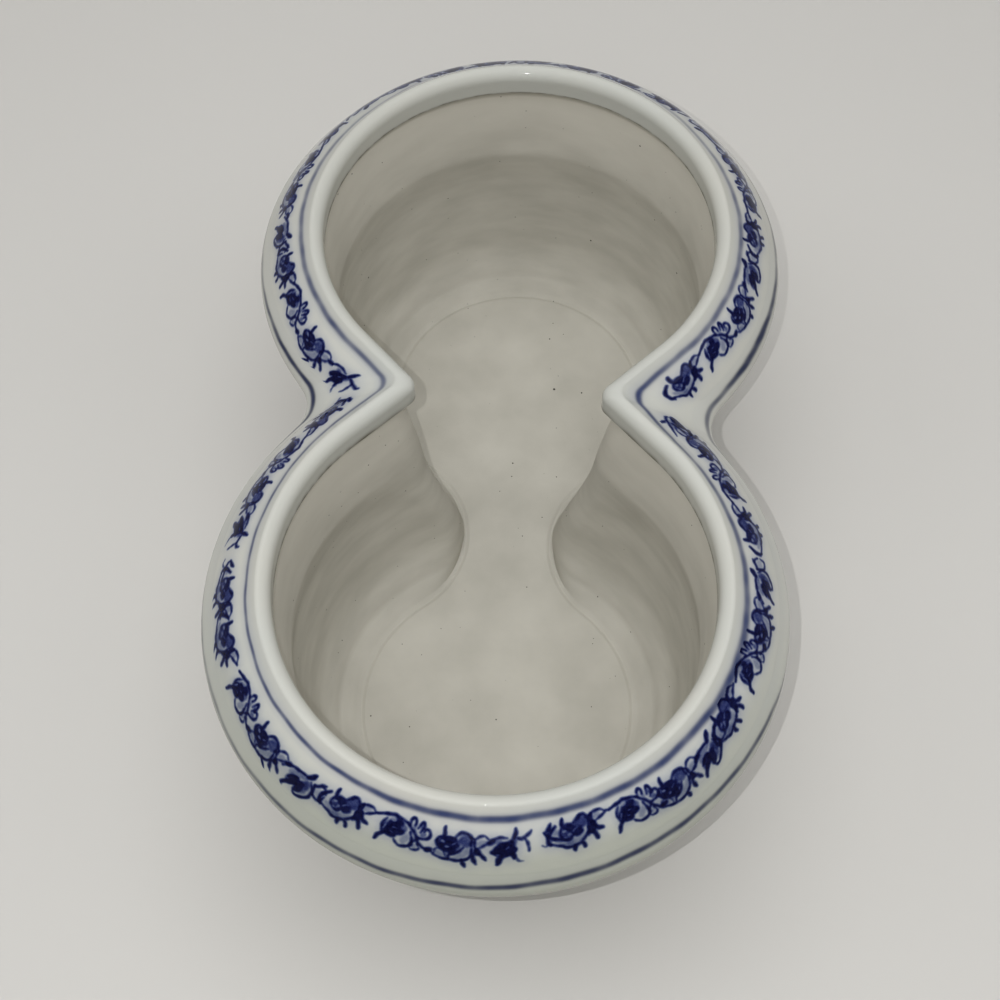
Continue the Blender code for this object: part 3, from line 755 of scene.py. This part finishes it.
starLeaf = [
    # start of a run: forked tendril, curl and a spiky leaf
    ([(-6.7, 4.7), (-6.3, 5.4), (-4.8, 6.2), (-3.6, 6.2), (-2.5, 5.7)], 0.5, 0.86, 0.5),
    ([(-4.6, 6.5), (-5.1, 8.2), (-5.4, 9.5), (-5.5, 10.7)], 0.42, 0.82, 0.5),
    ([(-2.4, 2.9), (-2.0, 4.2), (-1.4, 5.6)], 0.66, 0.9, 0.5),
    ([(-3.4, 13.5), (-2.2, 13.0), (-1.5, 12.0), (-1.5, 10.8)], 0.3, 0.66, 0.5),
    ([(-1.8, 6.4), (-0.8, 6.8)], 1.0, 0.55, 0.8),
    ([(0.4, 8.2), (1.8, 9.0), (3.0, 9.6)], 2.0, 0.86, 0.7),
    ([(-0.6, 6.4), (1.4, 8.0), (2.4, 9.0)], 1.0, 0.88, 0.6),
    ([(-1.0, 8.8), (1.2, 9.1), (2.8, 9.2)], 1.6, 0.9, 0.6),
    ([(2.6, 8.2), (4.2, 9.3), (5.2, 9.6)], 0.9, 0.9, 0.6),
    ([(-0.8, 10.0), (-0.8, 11.7)], 0.62, 0.9, 0.5),
    ([(1.8, 10.4), (3.2, 12.0), (4.1, 13.4)], 0.8, 0.9, 0.5),
    ([(0.4, 5.2), (2.4, 5.1), (4.4, 5.5), (6.0, 6.4)], 0.42, 0.84, 0.5),
    ([(2.4, 6.2), (3.4, 6.4)], 0.7, 0.4, 0.8),
    ([(-0.6, 7.4), (3.8, 9.0)], 1.7, 0.6, 0.8),
    ([(3.2, 10.0), (3.9, 10.3)], 0.36, -0.5, 0.6),
    ([(0.2, 7.8), (1.2, 8.4)], 0.24, -0.35, 0.5),
]
endLeaf = [
    # end of a run: arc that rises to a leaf with a point, and a curl
    ([(-9.6, 10.3), (-7.2, 9.4), (-5.0, 8.8), (-3.6, 7.8), (-2.7, 6.6)], 0.5, 0.88, 0.5),
    ([(-5.2, 4.4), (-4.3, 5.4), (-2.8, 6.5)], 0.6, 0.9, 0.5),
    ([(-7.2, 7.6), (-5.4, 7.0)], 0.8, 0.22, 0.9),
    ([(-5.0, 9.2), (-4.0, 10.2), (-2.8, 10.7), (-1.7, 10.2)], 0.3, 0.7, 0.5),
]
budLeaf = [
    # bud at the right point of the waist: whisker, pale petal, and a dark drop with a tail
    ([(0.2, 1.4), (0.0, 2.8), (-0.4, 4.4)], 0.36, 0.86, 0.5),
    ([(5.2, 2.2), (3.0, 3.4), (0.2, 4.6), (-2.0, 6.0), (-3.2, 7.6)], 0.42, 0.86, 0.5),
    ([(-0.6, 6.6), (2.2, 5.4)], 1.2, 0.26, 0.8),
    ([(-2.8, 9.6), (-0.6, 9.2), (1.8, 9.6)], 1.7, 0.9, 0.6),
    ([(1.4, 9.8), (3.6, 10.2), (5.4, 11.0)], 0.8, 0.9, 0.5),
    ([(0.8, 7.6), (3.4, 7.0), (6.2, 7.4)], 0.4, 0.86, 0.5),
    ([(-0.6, 9.0), (0.6, 9.5)], 0.24, -0.35, 0.5),
]
motifs = {
    "bud": budLeaf, "open": flowerOpen, "closed": flowerClosed, "fan": leafFan, "loop": loopLink,
    "low": archLow, "broad": archBroad, "star": starLeaf, "end": endLeaf,
}


def strokePoints(path):
    # smooth curve through a stroke's few points
    points, dab = [], borderLook["dab"]
    for b, a, c, d in splineKeys(path):
        for t in np.arange(0, 1, dab / max(dab, float(np.hypot(*(c - a))))):
            points.append(splineAt(b, a, c, d, t))
    return np.array(points + [path[-1]])


def brush(left, along, out, path, half, strength, soft):
    # one stroke: widest in the middle, lifted at its ends, pooled at its edge; left is the bare glaze share
    points = strokePoints(path)
    if strength > 0:
        half, soft = half * borderLook["weight"], soft + borderLook["softer"]
    share = np.linspace(0, 1, len(points))
    lifted, swell = borderLook["lifted"], np.sin(math.pi * share.clip(*borderLook["tips"]))
    width = half * (lifted + (1 - lifted) * swell ** borderLook["taper"])
    gap = np.full(along.shape, np.inf)
    for (a, b), w in zip(points, width):
        gap = np.minimum(gap, np.hypot(along - a, out - b) - w)
    phase = 40 * strength + 13 * half    # each stroke is ragged in its own way
    ragged = sum(np.sin(pace * along + rise * out + phase) for pace, rise in borderLook["raggedWaves"])
    cover = (0.5 - (gap + borderLook["ragged"] * ragged) / soft).clip(0, 1)
    cover = abs(strength) * cover * cover * (3 - 2 * cover)
    if strength < 0:
        return 1 - (1 - left) * (1 - cover)
    halo = borderLook["halo"] * np.exp(-((gap.clip(0) / borderLook["haloReach"]) ** 2))
    return left * (1 - cover) * (1 - halo)


def vinePlaces():
    # a bud or star leaf starts each run; flowers in turn with their links, a closed flower and often an
    # end leaf follow
    places = []
    turns = (("open",), ("fan", "low"), ("closed",), ("loop", "broad"))
    for first, run, hasEnd in zip(borderLook["starts"], borderLook["runs"], borderLook["endLeaves"]):
        spots = [spot for spot, _ in run][:len(run) - (not hasEnd)]
        flowers = [turns[index % len(turns)] for index in range(len(run) - 3)]
        kinds = [(first,), *flowers, ("closed",), ("end",)]
        places += zip(kinds, spots)    # an end leaf that has no spot drops out
    return places


def vineBorder(name, quarter):
    # one quarter of the painted band; the same strokes are worked out for all four
    look = borderLook
    v = np.linspace(look["inner"], look["outer"], look["rows"])
    # the strip lies just proud of the coat and sinks into it along both edges, so no step shows
    rise = (np.minimum(v - v[0], v[-1] - v) / look["sinkOver"]).clip(0, 1)[:, None]
    plainRun = [rimLevel(place) for place in v]
    proud, sunk = (np.array(offsetRun(plainRun, distance)) for distance in (look["proud"], -look["sunk"]))
    levels = [tuple(level) for level in proud * rise + sunk * (1 - rise)]
    onArc, onStraight, onBend = look["columns"]
    rows, alongRows, ways = [], [], []
    for section in levels:
        arc, straight, bend = quarterParts(section)[3:]
        way = np.concatenate([np.linspace(0, arc, onArc, endpoint=False),
                              arc + np.linspace(0, straight, onStraight, endpoint=False),
                              arc + straight + np.linspace(0, bend, onBend)])
        ways.append(way / (arc + straight + bend))
        rows.append(outline(section, ways[-1])[:len(way)])
        alongRows.append(alongBorder(section, ways[-1]))
    points, along = np.array(rows), np.array(alongRows)
    # back right, front right, front left and back left: mirrored, with mm counted on round the pot
    mirrored = [(1, 1, -1, -1)[quarter], (1, -1, -1, 1)[quarter], 1]
    points = points * mirrored
    along = (along, wholeWay / 2 - along, wholeWay / 2 + along, wholeWay - along)[quarter]
    out = np.broadcast_to(v[:, None], along.shape)
    bare = np.ones(along.shape)
    hand = np.random.default_rng(look["seed"])
    wanders = np.array([key for run in look["runs"] for key in run]).T
    for kinds, place in vinePlaces():
        jitter = hand.normal(0, 1, 4).clip(-look["most"], look["most"])
        lift = look["lift"] * jitter[0] - (look["broadHigher"] if "broad" in kinds else 0)
        for shift in (-wholeWay, 0, wholeWay):
            near = np.abs(along - place - shift) < look["motifReach"]
            if not near.any():
                continue
            wander = np.interp(along[near], *wanders, period=wholeWay)
            a, b, part = along[near] - place - shift, out[near] - lift - wander, bare[near]
            a = a * (1 + look["stretch"] * jitter[1]) + look["lean"] * jitter[2] * (b - look["middle"])
            strokes = [stroke for kind in kinds for stroke in motifs[kind]]
            for count, (path, half, strength, soft) in enumerate(strokes):
                # each point of a stroke moves a little in its own way
                bent = np.sin(np.arange(2 * len(path)) * 2.4 + count + 5 * jitter[3]).reshape(-1, 2)
                part = brush(part, a, b, np.array(path) + look["bend"] * bent, half, strength, soft)
            bare[near] = part
    # at the strip's edges the vine's faint halo becomes the coat's own
    fade = (np.minimum(out - look["inner"], look["outer"] - out) / look["fadeOver"]).clip(0, 1)
    faint = np.where(out < borderMiddle, *lineLook["bleed"][0])
    pigment = (1 - bare).clip(0, 1)
    pigment = np.where(pigment < look["fadeBelow"], pigment * fade + faint * (1 - fade), pigment)
    # the underside needs few rows, and lies within the coat
    every = look["underEvery"]
    underLevels = zip(offsetRun(levels, -look["thick"])[::every], ways[::every])
    below = np.array([outline(level, way)[:points.shape[1]] for level, way in underLevels]) * mirrored
    count, start = points.shape[1], points.shape[0] * points.shape[1]
    top, under = gridFaces(len(points), count, 0), gridFaces(len(below), count, start)[:, ::-1]
    col = np.arange(count - 1)
    lastTop, lastUnder = start - count, start + (len(below) - 1) * count
    innerSide = np.stack([col, col + 1, start + col + 1, start + col], 1)
    outerSide = np.stack([lastTop + col + 1, lastTop + col, lastUnder + col, lastUnder + col + 1], 1)
    ends = []
    for edge, turned in ((0, False), (count - 1, True)):
        for block in range(len(below) - 1):
            upper = [row * count + edge for row in range(every * block, every * (block + 1) + 1)]
            face = upper[::-1] + [start + block * count + edge, start + (block + 1) * count + edge]
            ends.append(face[::-1] if turned else face)
    plain = np.zeros(below.size // 3)
    paint = {"cobalt": pigment} | linePigment(along, out)
    paint = {key: np.concatenate([amount.ravel(), plain]) for key, amount in paint.items()}
    band = buildMesh(name, np.concatenate([points.reshape(-1, 3), below.reshape(-1, 3)]),
                     [np.concatenate([top, under, innerSide, outerSide]), np.array(ends)], glaze, paint)
    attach(band, "root")
    return band


for quarter, name in enumerate(("vineBackRight", "vineFrontRight", "vineFrontLeft", "vineBackLeft")):
    band = vineBorder(name, quarter)
    print("painted", name, len(band.data.polygons))

# the clay body: bare foot and base, clay under the glaze, bare inside with cove, groove and panel
bodyLook = {
    "columns": 150, "grading": 1.35, "step": 1.6, "floorStep": 1.2, "floorCells": 24,
    "underGlaze": 0.05, "hiddenEvery": 5,    # the clay under the coat lies close to it, in few levels
    "bevelLevels": 6, "recessLevels": 7, "grooveLevels": 9,
}


def footRun():
    # from the recessed base over the foot ring to its outside
    f = form

    def rung(inset, z):
        lobe, waist = f["footLobe"] - inset, f["footWaist"] - inset
        return (z, lobe, waist, roundCorner(lobe, waist))

    bevel = [rung(f["footWidth"] - f["footBevel"] * math.sin(a), f["footBevel"] * (1 - math.cos(a)))
             for a in np.linspace(math.pi / 2, 0, bodyLook["bevelLevels"])]
    recess = [rung(f["footWidth"] + f["recessSlope"] * (1 - math.cos(a)),
                   f["footDepth"] / 2 * (1 + math.sin(a)))
              for a in np.linspace(math.pi / 2, 0, bodyLook["recessLevels"])]
    outerBevel = [rung(f["footBevel"] * (1 - math.sin(a)), f["footBevel"] * (1 - math.cos(a)))
                  for a in np.linspace(0, math.pi / 2, bodyLook["bevelLevels"])]
    return recess + [rung(f["footWidth"], f["footDepth"] / 3)] + bevel + outerBevel


def bareInside():
    # from under the lip down the wall and over the floor to the panel inside the groove
    i = inside
    top = rimSection(i["undercut"], form["lipFace"] + i["undercutDrop"], i["collar"][3])
    run = innerWall()
    cone = resample([top, run[0]], bodyLook["step"])
    wall = resample(run, bodyLook["step"])
    groove = []
    for t in np.linspace(0, 1, bodyLook["grooveLevels"]):
        dip, past = i["grooveDepth"] * math.sin(math.pi * t) ** 2, i["groove"] * (1 - t)
        groove.append(wallSection(panelLevel - dip, i["panel"][0] + past, i["panel"][1] + past))
    return cone[:-1] + wall + resample([wall[-1], groove[0]], bodyLook["floorStep"])[1:] + groove[1:]


hidden = offsetRun(outer, -(form["glaze"] + bodyLook["underGlaze"]))[::-bodyLook["hiddenEvery"]]
levels = footRun() + hidden + bareInside()
bodyStations = gradedStations(bodyLook["columns"], bodyLook["grading"])
rings = np.array([outline(level, bodyStations) for level in levels])
rowCount, columnCount = rings.shape[:2]
cells = bodyLook["floorCells"]
base, panel = capRows(rings[0], cells), capRows(rings[-1], cells)
ringPoints = rings.reshape(-1, 3)
baseStart, panelStart = len(ringPoints), len(ringPoints) + base.size // 3
baseQuads, baseEnds = capFaces(0, columnCount, baseStart, cells)
panelQuads, panelEnds = capFaces((rowCount - 1) * columnCount, columnCount, panelStart, cells)
points = np.concatenate([ringPoints, base.reshape(-1, 3), panel.reshape(-1, 3)])
quads = np.concatenate([ringFaces(rowCount, columnCount, False), baseQuads, panelQuads[:, ::-1]])
body = buildMesh("clayBody", points, [quads, np.concatenate([baseEnds, panelEnds[:, ::-1]])], clay)
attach(body, "root")
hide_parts("porcelain_body")
print("clay body made", len(body.data.polygons))

# plain pale floor, round, that curves up into a backdrop all about
stageLook = {"radius": 1600, "rise": 1500, "curve": 600, "curveSteps": 23, "sides": 96,
             "colour": "#C9C7C3", "roughness": 0.7}


def makeStage():
    s = stageLook
    material = bpy.data.materials.new("paleTable")
    material.use_nodes = True
    shader = material.node_tree.nodes["Principled BSDF"]
    shader.inputs["Base Color"].default_value = linearColour(s["colour"])
    shader.inputs["Roughness"].default_value = s["roughness"]
    flat = s["radius"] - s["curve"]
    side = [(1, 0), (flat / 2, 0)]
    for turn in np.linspace(0, math.pi / 2, s["curveSteps"] + 1):
        side.append((flat + s["curve"] * math.sin(turn), s["curve"] * (1 - math.cos(turn))))
    side.append((s["radius"], s["rise"]))
    turns = np.linspace(0, 2 * math.pi, s["sides"], endpoint=False)
    points = [(r * math.cos(turn), r * math.sin(turn), z) for r, z in side for turn in turns]
    floor = buildMesh("floor", points, ringFaces(len(side), s["sides"], False), material)


makeStage()

# light: a pale room with a brighter ceiling, soft boxes above and round the pot, and a small lamp
# beside the lens
lightLook = {
    "roomColour": "#F1F3F4", "horizon": 0.31, "ceiling": 0.43,
    "lamp": 3.1, "lampBeside": (-20, 6.5), "lampRadius": 1.0, "aim": (0, 0, 60),
    # strength in watts, then width, depth and place in mm
    "boxes": {
        "softTop": (9.5, 1400, 1400, (0, 0, 1500)),
        "softLeft": (1.7, 700, 700, (-900, 0, 1050)),
        "softRight": (1.5, 700, 700, (900, 0, 1050)),
        "softBack": (0.8, 700, 700, (0, 900, 1000)),
        "softFront": (1.1, 700, 700, (0, -900, 1000)),
    },
}
world = bpy.data.worlds.new("room")
bpy.context.scene.world = world
world.use_nodes = True
room = world.node_tree
skyward = addNode(room, "ShaderNodeTexCoord")
upwards = addNode(room, "ShaderNodeSeparateXYZ", None, {0: skyward.outputs["Generated"]})
glow = addNode(room, "ShaderNodeMapRange", {3: lightLook["horizon"], 4: lightLook["ceiling"]},
               {0: upwards.outputs["Z"]})
room.nodes["Background"].inputs["Color"].default_value = linearColour(lightLook["roomColour"])
room.links.new(glow.outputs[0], room.nodes["Background"].inputs["Strength"])


def addLight(name, kind, power, size, place):
    data = bpy.data.lights.new(name, kind)
    data.energy = power
    if kind == "AREA":
        data.shape = "ELLIPSE"
        data.size, data.size_y = size[0] * mm, size[1] * mm
    else:
        data.shadow_soft_size = size * mm
    lamp = bpy.data.objects.new(name, data)
    bpy.context.scene.collection.objects.link(lamp)
    lamp.location = Vector(place) * mm
    lamp.rotation_mode = "QUATERNION"
    lamp.rotation_quaternion = (Vector(lightLook["aim"]) - Vector(place)).to_track_quat("-Z", "Y")


for name, (power, width, depth, place) in lightLook["boxes"].items():
    addLight(name, "AREA", power, (width, depth), place)
beside, above = lightLook["lampBeside"]
lampPlace = camera.matrix_world.translation / mm + xAxis * beside + yAxis * above
addLight("handLamp", "POINT", lightLook["lamp"], lightLook["lampRadius"], lampPlace)
print("floor and lights set")

bpy.context.scene.view_settings.view_transform = "Standard"
